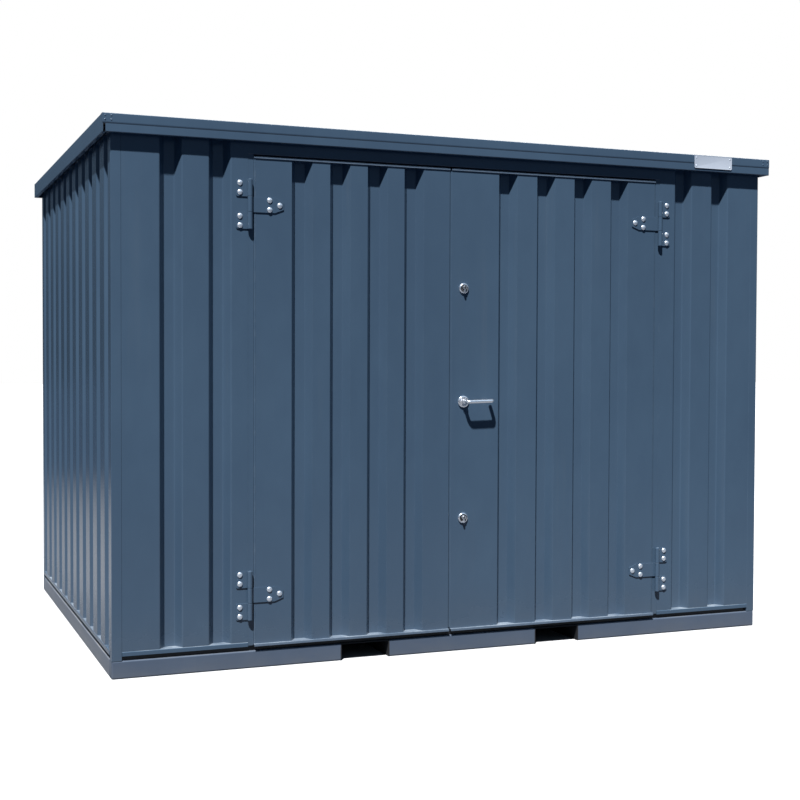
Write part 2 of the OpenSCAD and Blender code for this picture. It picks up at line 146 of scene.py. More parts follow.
def axisOf(tree, vector, label):
    split = tree.nodes.new("ShaderNodeSeparateXYZ")
    tree.links.new(vector, split.inputs[0])
    return split.outputs[label]


def makeSun(name, way, strength, softness):
    sun = bpy.data.lights.new(name, "SUN")
    sun.energy = strength
    sun.angle = math.radians(softness)
    lamp = addObject(name, sun)
    lamp.rotation_euler = Vector(way).to_track_quat("-Z", "Y").to_euler()


def makeLights(s):
    makeSun("keySun", s["sunWay"], s["sunStrength"], s["sunSoftness"])
    makeSun("backFill", s["fillWay"], s["fillStrength"], s["fillSoftness"])
    world = bpy.data.worlds.new("studioSky")
    bpy.context.scene.world = world
    world.use_nodes = True
    tree = world.node_tree
    tree.nodes.clear()
    out = tree.nodes.new("ShaderNodeOutputWorld")
    path = tree.nodes.new("ShaderNodeLightPath")
    lit = background(tree, s["skyColor"], s["skyStrength"])
    white = background(tree, (1.0, 1.0, 1.0, 1.0), 1.0)
    # glossy rays mirror a dark band round the horizon that brightens overhead
    coords = tree.nodes.new("ShaderNodeTexCoord")
    mirrored = background(tree, s["skyColor"], 1.0)
    height = axisOf(tree, coords.outputs["Generated"], "Z")
    rise = rangeNode(tree, height, *s["glossRise"], s["glossHorizon"], s["glossZenith"])
    tree.links.new(rise, mirrored.inputs["Strength"])
    glossy = mixShaders(tree, path.outputs["Is Glossy Ray"], lit.outputs[0], mirrored.outputs[0])
    clear = mixShaders(tree, path.outputs["Is Transmission Ray"], glossy, white.outputs[0])
    seen = mixShaders(tree, path.outputs["Is Camera Ray"], clear, white.outputs[0])
    tree.links.new(seen, out.inputs[0])


def makeFloor(s):
    bm = bmesh.new()
    bmesh.ops.create_grid(bm, x_segments=2, y_segments=2, size=s["floorSize"])
    mesh = bpy.data.meshes.new("studioFloor")
    bm.to_mesh(mesh)
    bm.free()
    floor = addObject("studioFloor", mesh)
    material = bpy.data.materials.new("paleFloor")
    material.use_nodes = True
    tree = material.node_tree
    tree.nodes.clear()
    out = tree.nodes.new("ShaderNodeOutputMaterial")
    path = tree.nodes.new("ShaderNodeLightPath")
    bounce = tree.nodes.new("ShaderNodeBsdfDiffuse")
    bounce.inputs["Color"].default_value = s["floorBounce"]
    pale = tree.nodes.new("ShaderNodeBsdfDiffuse")
    pale.inputs["Color"].default_value = s["floorSeen"]
    coords = tree.nodes.new("ShaderNodeTexCoord")
    along = axisOf(tree, coords.outputs["Object"], "X")
    across = rangeNode(tree, along, *s["glossSpan"], s["floorGloss"], s["frontGloss"])
    far = tree.nodes.new("ShaderNodeVectorMath")
    far.operation = "LENGTH"
    tree.links.new(coords.outputs["Object"], far.inputs[0])
    fade = rangeNode(tree, far.outputs["Value"], *s["glossReach"], 1.0, 0.0)
    gloss = mathNode(tree, "MULTIPLY", across, fade)
    mirrored = mathNode(tree, "MULTIPLY", gloss, path.outputs["Is Glossy Ray"])
    share = mathNode(tree, "ADD", mirrored, path.outputs["Is Camera Ray"], True)
    tree.links.new(mixShaders(tree, share, bounce.outputs[0], pale.outputs[0]), out.inputs[0])
    mesh.materials.append(material)


bpy.context.scene.view_settings.view_transform = "Standard"
makeCamera(cameraSettings)
makeLights(lightSettings)
makeFloor(lightSettings)
print("camera, lights and floor made")


# --- shared effects ---

def newGroup(name, inputs, output):
    group = bpy.data.node_groups.new(name, "ShaderNodeTree")
    for label, value in inputs.items():
        socket = group.interface.new_socket(name=label, in_out="INPUT", socket_type="NodeSocketFloat")
        socket.default_value = value
    group.interface.new_socket(name=output, in_out="OUTPUT", socket_type="NodeSocketFloat")
    return group, group.nodes.new("NodeGroupInput"), group.nodes.new("NodeGroupOutput")


def noiseNode(tree, scale, stretch=(1, 1, 1), detail=3.0, roughness=0.55):
    coords = tree.nodes.new("ShaderNodeTexCoord")
    mapping = tree.nodes.new("ShaderNodeMapping")
    mapping.inputs["Scale"].default_value = stretch
    noise = tree.nodes.new("ShaderNodeTexNoise")
    noise.inputs["Scale"].default_value = scale
    noise.inputs["Detail"].default_value = detail
    noise.inputs["Roughness"].default_value = roughness
    tree.links.new(coords.outputs["Object"], mapping.inputs["Vector"])
    tree.links.new(mapping.outputs[0], noise.inputs["Vector"])
    return noise.outputs["Fac"]


def rampNode(tree, value, low, high):
    node = tree.nodes.new("ShaderNodeMapRange")
    node.interpolation_type = "SMOOTHSTEP"
    node.inputs["From Min"].default_value = low
    node.inputs["From Max"].default_value = high
    tree.links.new(value, node.inputs["Value"])
    return node.outputs[0]


mottleSettings = {
    "broad": {"scale": 1.1, "stretch": (1, 1, 0.6)},
    "fine": {"scale": 14.0, "stretch": (1, 1, 0.5)},
    "span": (0.45, 0.95),
}


def makeMottleGroup(s):
    # broad cloudy change of tone with a finer one on top
    group, ins, outs = newGroup("paintMottle", {"Fine": 0.35}, "Tone")
    broad = noiseNode(group, **s["broad"])
    fine = noiseNode(group, **s["fine"])
    fineShare = mathNode(group, "MULTIPLY", fine, ins.outputs["Fine"])
    total = mathNode(group, "ADD", broad, fineShare)
    group.links.new(rampNode(group, total, *s["span"]), outs.inputs["Tone"])
    return group


streakSettings = {
    "runs": {"scale": 26.0, "stretch": (1, 1, 0.035), "detail": 4.0, "roughness": 0.6},
    "runSpan": (0.52, 0.78),
    "patches": {"scale": 2.2, "stretch": (1, 1, 0.5), "detail": 2.0},
    "patchSpan": (0.4, 0.75),
}


def makeStreakGroup(s):
    # narrow upright runs left by rain
    group, ins, outs = newGroup("rainRuns", {"Amount": 1.0}, "Mask")
    runs = rampNode(group, noiseNode(group, **s["runs"]), *s["runSpan"])
    patches = rampNode(group, noiseNode(group, **s["patches"]), *s["patchSpan"])
    both = mathNode(group, "MULTIPLY", runs, patches)
    mask = mathNode(group, "MULTIPLY", both, ins.outputs["Amount"], True)
    group.links.new(mask, outs.inputs["Mask"])
    return group


dustAndSheenSettings = {
    "fade": 1.7,
    "splash": {"scale": 9.0, "stretch": (1, 1, 2.0), "detail": 5.0},
    "levelSpan": (0.35, 0.95),    # how level a face has to be for dust, and for the painted highlight on the sill tracks and leaf caps, to lie on it
    "patches": {"scale": 7.0},
    "patchSpan": (0.25, 0.8),
}


def makeDustAndSheenGroup(s):
    # dust that lies on ledges and splashes up from the ground; on the sill tracks and leaf caps the ledge part is
    # a painted highlight in pale blue-grey
    group, ins, outs = newGroup("dustAndLedgeSheen", {"Reach": 0.30, "Ledges": 0.6}, "Mask")
    coords = group.nodes.new("ShaderNodeTexCoord")
    height = mathNode(group, "DIVIDE", axisOf(group, coords.outputs["Object"], "Z"), ins.outputs["Reach"])
    low = mathNode(group, "POWER", mathNode(group, "SUBTRACT", 1.0, height, True), s["fade"])
    splash = mathNode(group, "MULTIPLY", low, noiseNode(group, **s["splash"]))
    shape = group.nodes.new("ShaderNodeNewGeometry")
    up = rampNode(group, axisOf(group, shape.outputs["Normal"], "Z"), *s["levelSpan"])
    patches = rampNode(group, noiseNode(group, **s["patches"]), *s["patchSpan"])
    laid = mathNode(group, "MULTIPLY", up, patches)
    ledges = mathNode(group, "MULTIPLY", laid, ins.outputs["Ledges"])
    group.links.new(mathNode(group, "ADD", splash, ledges, True), outs.inputs["Mask"])
    return group


wearAndSheenSettings = {
    "samples": 4,
    "edgeSpan": (0.015, 0.12),
    "patches": {"scale": 22.0, "detail": 6.0, "roughness": 0.7},
    "patchSpan": (0.42, 0.66),
}


def makeWearAndSheenGroup(s):
    # edges picked out where the rounded normal differs from the true one: paint rubbed thin on most finishes, a
    # painted highlight on the leaf caps
    group, ins, outs = newGroup("edgeWearAndSheen", {"Radius": 0.003, "Amount": 1.0}, "Mask")
    rounded = group.nodes.new("ShaderNodeBevel")
    rounded.samples = s["samples"]
    group.links.new(ins.outputs["Radius"], rounded.inputs["Radius"])
    shape = group.nodes.new("ShaderNodeNewGeometry")
    dot = group.nodes.new("ShaderNodeVectorMath")
    dot.operation = "DOT_PRODUCT"
    group.links.new(rounded.outputs[0], dot.inputs[0])
    group.links.new(shape.outputs["Normal"], dot.inputs[1])
    apart = mathNode(group, "SUBTRACT", 1.0, dot.outputs["Value"])
    edge = rampNode(group, apart, *s["edgeSpan"])
    patches = rampNode(group, noiseNode(group, **s["patches"]), *s["patchSpan"])
    worn = mathNode(group, "MULTIPLY", edge, patches)
    mask = mathNode(group, "MULTIPLY", worn, ins.outputs["Amount"], True)
    group.links.new(mask, outs.inputs["Mask"])
    return group


surfaceSettings = {
    "waves": {"scale": 5.0, "stretch": (1, 1, 0.45), "detail": 1.0},
    "peel": {"scale": 420.0, "detail": 1.0},
}


def makeSurfaceGroup(s):
    # height of a painted sheet: slow waves from rolling, and the orange peel of sprayed paint
    group, ins, outs = newGroup("sheetSurface", {"Waves": 1.0, "Peel": 0.05}, "Height")
    waves = mathNode(group, "MULTIPLY", noiseNode(group, **s["waves"]), ins.outputs["Waves"])
    peel = mathNode(group, "MULTIPLY", noiseNode(group, **s["peel"]), ins.outputs["Peel"])
    group.links.new(mathNode(group, "ADD", waves, peel), outs.inputs["Height"])
    return group


effects = {
    "mottle": makeMottleGroup(mottleSettings),
    "streaks": makeStreakGroup(streakSettings),
    "dustAndSheen": makeDustAndSheenGroup(dustAndSheenSettings),
    "wearAndSheen": makeWearAndSheenGroup(wearAndSheenSettings),
    "surface": makeSurfaceGroup(surfaceSettings),
}
print("shared effects made:", len(effects))


def placeEffect(tree, name, **values):
    node = tree.nodes.new("ShaderNodeGroup")
    node.node_tree = effects[name]
    for label, value in values.items():
        node.inputs[label].default_value = value
    return node.outputs[0]


def mixColor(tree, mask, under, over, strength=1.0):
    node = tree.nodes.new("ShaderNodeMix")
    node.data_type = "RGBA"
    if strength != 1.0:
        mask = mathNode(tree, "MULTIPLY", mask, strength)
    tree.links.new(mask, node.inputs["Factor"])
    for socket, value in ((node.inputs["A"], under), (node.inputs["B"], over)):
        if isinstance(value, tuple):
            socket.default_value = (*value, 1.0)
        else:
            tree.links.new(value, socket)
    return node.outputs["Result"]


def blankMaterial(name):
    material = bpy.data.materials.new(name)
    material.use_nodes = True
    tree = material.node_tree
    return material, tree, tree.nodes["Principled BSDF"]


def bumpInto(tree, shader, height, strength, distance):
    bump = tree.nodes.new("ShaderNodeBump")
    bump.inputs["Strength"].default_value = strength
    bump.inputs["Distance"].default_value = distance
    tree.links.new(height, bump.inputs["Height"])
    tree.links.new(bump.outputs[0], shader.inputs["Normal"])


# --- finishes ---

def makePaint(name, s):
    # sprayed paint under rain runs, dust and worn edges; on the sill tracks and leaf caps the dust and edge masks
    # carry painted highlights
    material, tree, shader = blankMaterial(name)
    tone = placeEffect(tree, "mottle", Fine=s["fine"])
    runs = placeEffect(tree, "streaks", Amount=s["runs"])
    dustAndSheen = placeEffect(tree, "dustAndSheen", Reach=s["dustReach"], Ledges=s["ledgeDustAndSheen"])
    wearAndSheen = placeEffect(tree, "wearAndSheen", Radius=s["wearAndSheenRadius"], Amount=s["wearAndSheen"])
    color = mixColor(tree, tone, s["dark"], s["light"])
    color = mixColor(tree, runs, color, s["runColor"])
    color = mixColor(tree, dustAndSheen, color, s["dustAndSheenColor"], s["dustAndSheenShare"])
    color = mixColor(tree, wearAndSheen, color, s["wearAndSheenColor"])
    tree.links.new(color, shader.inputs["Base Color"])
    rough = mathNode(tree, "ADD", mathNode(tree, "MULTIPLY", tone, s["roughSwing"]), s["rough"])
    rough = mathNode(tree, "ADD", rough, mathNode(tree, "MULTIPLY", dustAndSheen, s["dustRough"]))
    rough = mathNode(tree, "ADD", rough, mathNode(tree, "MULTIPLY", runs, s["runRough"]), True)
    tree.links.new(rough, shader.inputs["Roughness"])
    surface = placeEffect(tree, "surface", Waves=s["waves"], Peel=s["peel"])
    bumpInto(tree, shader, surface, s["bump"], s["bumpHigh"])
    return material


wallPaintSettings = {
    "dark": (0.060, 0.103, 0.163), "light": (0.071, 0.121, 0.187), "fine": 0.3,
    "rough": 0.20, "roughSwing": 0.06,
    "runs": 0.22, "runColor": (0.115, 0.150, 0.190), "runRough": 0.2,
    "dustReach": 0.32, "ledgeDustAndSheen": 0.35, "dustAndSheenColor": (0.21, 0.20, 0.18), "dustAndSheenShare": 0.35,
    "dustRough": 0.35,
    "wearAndSheenRadius": 0.0025, "wearAndSheen": 0.35, "wearAndSheenColor": (0.16, 0.21, 0.27),
    "waves": 1.0, "peel": 0.03, "bump": 0.5, "bumpHigh": 0.002,
}
basePaintSettings = dict(
    wallPaintSettings, dark=(0.078, 0.112, 0.172), light=(0.096, 0.132, 0.196), rough=0.34,
    dustReach=0.12, dustAndSheenShare=0.5, ledgeDustAndSheen=0.7, wearAndSheen=0.55, wearAndSheenColor=(0.22, 0.24, 0.27), runs=0.35)
# painted highlight with some dust: the level tops of the sill tracks turn pale blue-grey, standing in for the
# glare of sun and sky on them
ledgeSheenSettings = dict(
    wallPaintSettings, ledgeDustAndSheen=1.0, dustAndSheenColor=(0.46, 0.52, 0.58), dustAndSheenShare=0.85, dustReach=0.02)
sidePaintSettings = dict(
    basePaintSettings, dustReach=0.30, dustAndSheenShare=0.9, dustAndSheenColor=(0.40, 0.39, 0.38))
roofPaintSettings = dict(
    wallPaintSettings, ledgeDustAndSheen=0.5, dustAndSheenShare=0.22, waves=0.45, rough=0.28)
# painted highlight: the leaf caps are a lighter copy of the wall paint with lighter edges still, for the sunlit
# lip along the leaves' tops
capSheenSettings = dict(
    ledgeSheenSettings, dark=(0.115, 0.165, 0.235), light=(0.140, 0.195, 0.270),
    wearAndSheenRadius=0.0045, wearAndSheen=1.0, wearAndSheenColor=(0.30, 0.36, 0.44))


def makeMetal(name, s):
    # plated or polished metal with a fine grain
    material, tree, shader = blankMaterial(name)
    tone = placeEffect(tree, "mottle", Fine=s["fine"])
    grain = noiseNode(tree, s["grainScale"], s["grainStretch"], 2.0)
    color = mixColor(tree, tone, s["dark"], s["light"])
    tree.links.new(color, shader.inputs["Base Color"])
    shader.inputs["Metallic"].default_value = s["metal"]
    rough = mathNode(tree, "ADD", mathNode(tree, "MULTIPLY", grain, s["roughSwing"]), s["rough"])
    tree.links.new(rough, shader.inputs["Roughness"])
    bumpInto(tree, shader, grain, s["bump"], s["bumpHigh"])
    return material


zincSettings = {
    "dark": (0.70, 0.75, 0.82), "light": (0.86, 0.90, 0.95),
    "fine": 0.6, "rough": 0.27, "roughSwing": 0.14, "metal": 0.74,
    "grainScale": 160.0, "grainStretch": (1, 1, 1), "bump": 0.25, "bumpHigh": 0.0004,
}
stainlessSettings = {
    "dark": (0.80, 0.80, 0.82), "light": (0.92, 0.92, 0.94),
    "fine": 0.6, "rough": 0.14, "roughSwing": 0.12, "metal": 0.86,
    "grainScale": 240.0, "grainStretch": (0.2, 1, 1), "bump": 0.15, "bumpHigh": 0.0004,
}
lockSteelSettings = dict(
    zincSettings, dark=(0.64, 0.66, 0.70), light=(0.80, 0.82, 0.86), rough=0.18, metal=0.88)


def makePly(name, s):
    # veneer grain along X, dark joints between the boards, and sideways faces near-black: partly a sealed edge,
    # partly painted shade in the recess the deck's edge sits in
    material, tree, shader = blankMaterial(name)
    wave = tree.nodes.new("ShaderNodeTexWave")
    wave.wave_type = "BANDS"
    wave.bands_direction = "Y"
    wave.inputs["Scale"].default_value = s["grainScale"]
    wave.inputs["Distortion"].default_value = s["grainBend"]
    wave.inputs["Detail"].default_value = s["grainDetail"]
    coords = tree.nodes.new("ShaderNodeTexCoord")
    mapping = tree.nodes.new("ShaderNodeMapping")
    mapping.inputs["Scale"].default_value = s["grainStretch"]
    tree.links.new(coords.outputs["Object"], mapping.inputs["Vector"])
    tree.links.new(mapping.outputs[0], wave.inputs["Vector"])
    fibres = noiseNode(tree, **s["fibres"])
    color = mixColor(tree, wave.outputs["Fac"], s["dark"], s["light"])
    color = mixColor(tree, fibres, color, s["fibre"], s["fibreShare"])
    color = mixColor(tree, placeEffect(tree, "mottle", Fine=s["fine"]), color, s["stain"], s["stainShare"])
    # joints between the boards
    along = mathNode(tree, "ADD", axisOf(tree, coords.outputs["Object"], "X"), s["board"] / 2)
    fromJoint = mathNode(tree, "PINGPONG", along, s["board"] / 2)
    color = mixColor(tree, mathNode(tree, "LESS_THAN", fromJoint, s["joint"]), color, s["edge"])
    # painted shade with a sealed edge: faces that turn sideways go near-black, standing in for the shade under the
    # sill tracks' noses
    shape = tree.nodes.new("ShaderNodeNewGeometry")
    level = mathNode(tree, "ABSOLUTE", axisOf(tree, shape.outputs["Normal"], "Z"))
    sideways = mathNode(tree, "SUBTRACT", 1.0, level, True)
    color = mixColor(tree, rampNode(tree, sideways, *s["edgeSpan"]), color, s["edge"])
    tree.links.new(color, shader.inputs["Base Color"])
    rough = mathNode(tree, "ADD", mathNode(tree, "MULTIPLY", fibres, s["roughSwing"]), s["rough"])
    tree.links.new(rough, shader.inputs["Roughness"])
    bumpInto(tree, shader, fibres, s["bump"], s["bumpHigh"])
    return material


plySettings = {
    "dark": (0.30, 0.195, 0.11), "light": (0.37, 0.25, 0.145),
    "grainScale": 1.6, "grainBend": 16.0, "grainDetail": 3.0, "grainStretch": (0.12, 1.0, 1.0),
    "fibres": {"scale": 60.0, "stretch": (0.05, 1, 1), "detail": 5.0},
    "fibre": (0.22, 0.14, 0.075), "fibreShare": 0.45,
    "fine": 0.5, "stain": (0.17, 0.12, 0.08), "stainShare": 0.3,
    "board": 1.0, "joint": 0.0018, "edge": (0.012, 0.013, 0.016), "edgeSpan": (0.3, 0.6),
    "rough": 0.42, "roughSwing": 0.25, "bump": 0.3, "bumpHigh": 0.0006,
}


def makeEnamel(name, s):
    # an even coat, worn a little along its edges
    material, tree, shader = blankMaterial(name)
    tone = placeEffect(tree, "mottle", Fine=s["fine"])
    wearAndSheen = placeEffect(tree, "wearAndSheen", Radius=s["wearAndSheenRadius"], Amount=s["wearAndSheen"])
    color = mixColor(tree, tone, s["dark"], s["light"])
    color = mixColor(tree, wearAndSheen, color, s["wearAndSheenColor"])
    tree.links.new(color, shader.inputs["Base Color"])
    rough = mathNode(tree, "ADD", mathNode(tree, "MULTIPLY", tone, s["roughSwing"]), s["rough"])
    tree.links.new(rough, shader.inputs["Roughness"])
    surface = placeEffect(tree, "surface", Waves=s["waves"], Peel=s["peel"])
    bumpInto(tree, shader, surface, s["bump"], s["bumpHigh"])
    return material


enamelSettings = {
    "dark": (0.50, 0.57, 0.68), "light": (0.60, 0.66, 0.76), "fine": 0.8,
    "wearAndSheenRadius": 0.0015, "wearAndSheen": 0.6, "wearAndSheenColor": (0.4, 0.42, 0.46),
    "rough": 0.3, "roughSwing": 0.15, "waves": 0.3, "peel": 0.04, "bump": 0.4, "bumpHigh": 0.001,
}
# painted shade: a near-black coat on the fork pockets stands in for the deep shade inside them
pocketShadeSettings = dict(
    enamelSettings, dark=(0.008, 0.009, 0.011), light=(0.014, 0.015, 0.018),
    wearAndSheenColor=(0.04, 0.03, 0.025), rough=0.75)
# near-black: real rubber on the door seals, and painted shade in the locks' keyholes and wells
rubberAndShadeSettings = dict(
    enamelSettings, dark=(0.012, 0.012, 0.013), light=(0.022, 0.022, 0.023),
    wearAndSheenColor=(0.05, 0.05, 0.05), rough=0.6)

# the record's material slots
finishes = {
    "wall_paint": makePaint("slatePaint", wallPaintSettings),
    "base_paint": makePaint("basePaint", basePaintSettings),
    "zinc": makeMetal("brightZinc", zincSettings),
    "stainless": makeMetal("polishedStainless", stainlessSettings),
    "floor_ply": makePly("floorPly", plySettings),
    "plate_white": makeEnamel("whiteEnamel", enamelSettings),
}
# other finishes for pieces of the same slots
# real rubber for the seals, and painted shade for the lock wells and keyholes
rubberAndShadePaint = makeEnamel("rubberAndShadePaint", rubberAndShadeSettings)
lockSteel = makeMetal("lockSteel", lockSteelSettings)
# near-black painted shade for the fork pockets
pocketShadePaint = makeEnamel("pocketShadePaint", pocketShadeSettings)
# painted highlight, with some dust, on the sill tracks' level tops
ledgeSheenPaint = makePaint("ledgeSheenPaint", ledgeSheenSettings)
# painted highlight on the leaf caps' lip and edges
capSheenPaint = makePaint("capSheenPaint", capSheenSettings)
sidePaint = makePaint("sidePaint", sidePaintSettings)
roofPaint = makePaint("roofPaint", roofPaintSettings)
print("finishes made")


# --- helpers for pieces ---

def sharpenByAngle(bm, degrees):
    for face in bm.faces:
        face.smooth = True
    for edge in bm.edges:
        if len(edge.link_faces) == 2:
            edge.smooth = edge.calc_face_angle(0.0) < math.radians(degrees)


def finishPiece(bm, name, body, slot, replaced=(), material=None, sharpAngle=35.0, evenNormals=True):
    sharpenByAngle(bm, sharpAngle)
    mesh = bpy.data.meshes.new(name)
    bm.to_mesh(mesh)
    bm.free()
    piece = addObject(name, mesh)
    mesh.materials.append(material or finishes[slot])
    if evenNormals:
        weighted = piece.modifiers.new("evenNormals", "WEIGHTED_NORMAL")
        weighted.keep_sharp = True
    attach(piece, body)
    if replaced:
        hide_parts(*replaced)


def bevelEdges(bm, edges, radius, segments, affect="EDGES"):
    bmesh.ops.bevel(bm, geom=edges, offset=radius, offset_type="OFFSET", segments=segments,
                    profile=0.5, affect=affect, clamp_overlap=True, material=-1)


def spinRound(bm, geom, steps):
    bmesh.ops.spin(bm, geom=geom, cent=(0, 0, 0), axis=(0, 0, 1), dvec=(0, 0, 0), angle=math.tau,
                   steps=steps, use_merge=True, use_normal_flip=False, use_duplicate=False)


def vertsOf(geom):
    return [part for part in geom if isinstance(part, bmesh.types.BMVert)]


def runsDeep(edge):
    # whether an edge runs from the front to the back
    return abs(edge.verts[0].co.y - edge.verts[1].co.y) > 1e-4


def cadCopy(node):
    # a CAD node's mesh with its flat faces made whole again
    bm = bmesh.new()
    bm.from_mesh(nodes[node].data)
    bmesh.ops.remove_doubles(bm, verts=bm.verts, dist=1e-5)
    bmesh.ops.dissolve_limit(bm, angle_limit=math.radians(0.5), verts=bm.verts, edges=bm.edges)
    return bm


def roomBeside(loop):
    # how far the loop's face runs square to its edge, measured at the edge's middle
    start, end = loop.vert.co, loop.link_loop_next.vert.co
    middle, along = (start + end) / 2, (end - start).normalized()
    inward = loop.face.normal.cross(along)
    room = math.inf
    for other in loop.face.edges:
        if other == loop.edge:
            continue
        first, second = (vert.co - middle for vert in other.verts)
        a, b = first.dot(along), second.dot(along)
        if a * b <= 0 and abs(a - b) > 1e-9:
            depth = first.lerp(second, a / (a - b)).dot(inward)
            if depth > 1e-6:
                room = min(room, depth)
    return room


def roundFolds(bm, radius, segments):
    # only edges whose two faces are both wide enough to take the radius
    chosen = []
    for edge in bm.edges:
        if len(edge.link_faces) != 2 or edge.calc_face_angle(0.0) < math.radians(20):
            continue
        room = min(roomBeside(loop) for loop in edge.link_loops)
        if edge.calc_length() > 3 * radius and room > 2.1 * radius:
            chosen.append(edge)
    bevelEdges(bm, chosen, radius, segments)


def softened(node, name, radius, segments=3, material=None):
    bm = cadCopy(node)
    roundFolds(bm, radius, segments)
    finishPiece(bm, name, bodyOf[node], slotOf[node], (node,), material)


def addBox(bm, low, high, radius=0.0, segments=2):
    made = bmesh.ops.create_cube(bm, size=1.0)["verts"]
    size = [high[i] - low[i] for i in range(3)]
    middle = [(high[i] + low[i]) / 2 for i in range(3)]
    bmesh.ops.scale(bm, vec=size, verts=made)
    bmesh.ops.translate(bm, vec=middle, verts=made)
    if radius:
        bevelEdges(bm, list({edge for vert in made for edge in vert.link_edges}), radius, segments)
    return made


def addTurned(bm, outline, place, way=(0, 0, 1), steps=32):
    # a solid of revolution: outline is (radius, height) pairs from the axis back to the axis
    verts = [bm.verts.new((radius, 0.0, height)) for radius, height in outline]
    edges = [bm.edges.new(pair) for pair in zip(verts, verts[1:])]
    spinRound(bm, verts + edges, steps)
    made = {vert for vert in verts if vert.is_valid}
    grown = True
    while grown:
        reach = {edge.other_vert(vert) for vert in made for edge in vert.link_edges} - made
        grown = bool(reach)
        made |= reach
    bmesh.ops.remove_doubles(bm, verts=list(made), dist=1e-6)
    made = [vert for vert in made if vert.is_valid]
    faces = list({face for vert in made for face in vert.link_faces})
    bmesh.ops.recalc_face_normals(bm, faces=faces)
    turn = Vector((0, 0, 1)).rotation_difference(Vector(way)).to_matrix().to_4x4()
    bmesh.ops.transform(bm, matrix=Matrix.Translation(place) @ turn, verts=made)
    return made


# --- sheets, rails and posts: the built shapes with their folds rounded ---

sheetSettings = {"radius": 0.0045, "flangeRadius": 0.0012, "segments": 4, "thickness": 0.0015}

foldedSheets = {
    # node: (piece name, the way its outer face looks)
    "left_wall": ("wallSheetLeft", (-1, 0, 0)),
    "right_wall": ("wallSheetRight", (1, 0, 0)),
    "rear_wall": ("wallSheetRear", (0, 1, 0)),
    "front_wall_left": ("wallSheetFrontLeft", (0, -1, 0)),
    "front_wall_right": ("wallSheetFrontRight", (0, -1, 0)),
    "left_leaf_panel": ("leafSheetLeft", (0, -1, 0)),
    "right_leaf_panel": ("leafSheetRight", (0, -1, 0)),
    "roof_sheet": ("roofSheet", (0, 0, 1)),
}


def foldedSheet(node, name, outward, s):
    # the outer faces alone, their folds rounded, then given their thickness inwards
    bm = cadCopy(node)
    outward = Vector(outward)
    low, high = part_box(node)
    dropped = []
    for face in bm.faces:
        side, center = face.normal, face.calc_center_median()
        atEnd = any(abs(side[i]) > 0.9 and min(abs(center[i] - low[i]), abs(center[i] - high[i])) < 1e-4
                    for i in (0, 1))
        wide = face.calc_area() > 4 * s["thickness"] * max(edge.calc_length() for edge in face.edges)
        turnedIn = atEnd and wide and len(face.verts) == 4 and abs(side.dot(outward)) < 0.1
        if side.dot(outward) < 0.3 and not turnedIn:
            dropped.append(face)
    bmesh.ops.delete(bm, geom=dropped, context="FACES")
    for square, radius in ((True, s["flangeRadius"]), (False, s["radius"])):
        folds = [edge for edge in bm.edges if len(edge.link_faces) == 2
                 and edge.calc_face_angle(0.0) > math.radians(20)
                 and (edge.calc_face_angle(0.0) > math.radians(80)) == square]
        bevelEdges(bm, folds, radius, s["segments"])
    bmesh.ops.solidify(bm, geom=bm.faces, thickness=s["thickness"])
    bmesh.ops.recalc_face_normals(bm, faces=bm.faces)
    material = roofPaint if node == "roof_sheet" else None
    finishPiece(bm, name, bodyOf[node], slotOf[node], (node,), material)


for node, (pieceName, outward) in foldedSheets.items():
    foldedSheet(node, pieceName, outward, sheetSettings)
print("folded sheets made:", len(foldedSheets))

foldRadii = {
    # node: (piece name, fold radius, segments)
    "sill_tracks": ("sillTracks", 0.005, 4),
    "base_rail_front": ("baseRailFront", 0.006, 4),
    "base_rail_rear": ("baseRailRear", 0.006, 4),
    "base_rail_left": ("baseRailLeft", 0.006, 4),
    "base_rail_right": ("baseRailRight", 0.006, 4),
    "fork_pockets": ("forkPockets", 0.006, 4),
    "floor_bearers": ("floorBearers", 0.006, 2),
    "floor_deck": ("floorDeck", 0.002, 2),
    "door_threshold": ("doorThreshold", 0.001, 2),
    "corner_post_front_left": ("cornerPostFrontLeft", 0.0018, 3),
    "corner_post_front_right": ("cornerPostFrontRight", 0.0018, 3),
    "corner_post_rear_left": ("cornerPostRearLeft", 0.0018, 3),
    "corner_post_rear_right": ("cornerPostRearRight", 0.0018, 3),
    "door_jamb_left": ("doorJambLeft", 0.0008, 2),
    "door_jamb_right": ("doorJambRight", 0.0008, 2),
    "door_header": ("doorHeader", 0.003, 3),
    "door_stops": ("doorStops", 0.0008, 2),
    "top_rails": ("topRails", 0.003, 2),
    "roof_beams": ("roofBeams", 0.003, 2),
    "roof_fascia_rear": ("fasciaRear", 0.003, 3),
    "roof_fascia_left": ("fasciaLeft", 0.003, 3),
    "roof_fascia_right": ("fasciaRight", 0.003, 3),
    "left_leaf_frame": ("leafFrameLeft", 0.003, 3),
    "right_leaf_frame": ("leafFrameRight", 0.003, 3),
    "left_leaf_caps": ("leafCapsLeft", 0.0009, 2),
    "right_leaf_caps": ("leafCapsRight", 0.0009, 2),
}

# the sill tracks and leaf caps take paints with painted highlights; the fork pockets take near-black painted shade
ownPaint = {
    "sill_tracks": ledgeSheenPaint, "left_leaf_caps": capSheenPaint, "right_leaf_caps": capSheenPaint,
    "fork_pockets": pocketShadePaint, "base_rail_left": sidePaint, "base_rail_right": sidePaint,
}

for node, (pieceName, radius, segments) in foldRadii.items():
    softened(node, pieceName, radius, segments, ownPaint.get(node))
print("rails, posts and frames made:", len(foldRadii))


# --- front fascia: an upper band over a lower one that stops short of the left corner ---

fasciaSettings = {
    "upperShare": 0.50, "step": 0.0022, "hem": 0.004, "sheet": 0.0018, "lap": 0.006,
    "leftShort": 0.012, "rightShort": 0.0005, "lip": 0.014, "flange": 0.038, "radius": 0.0035,
}


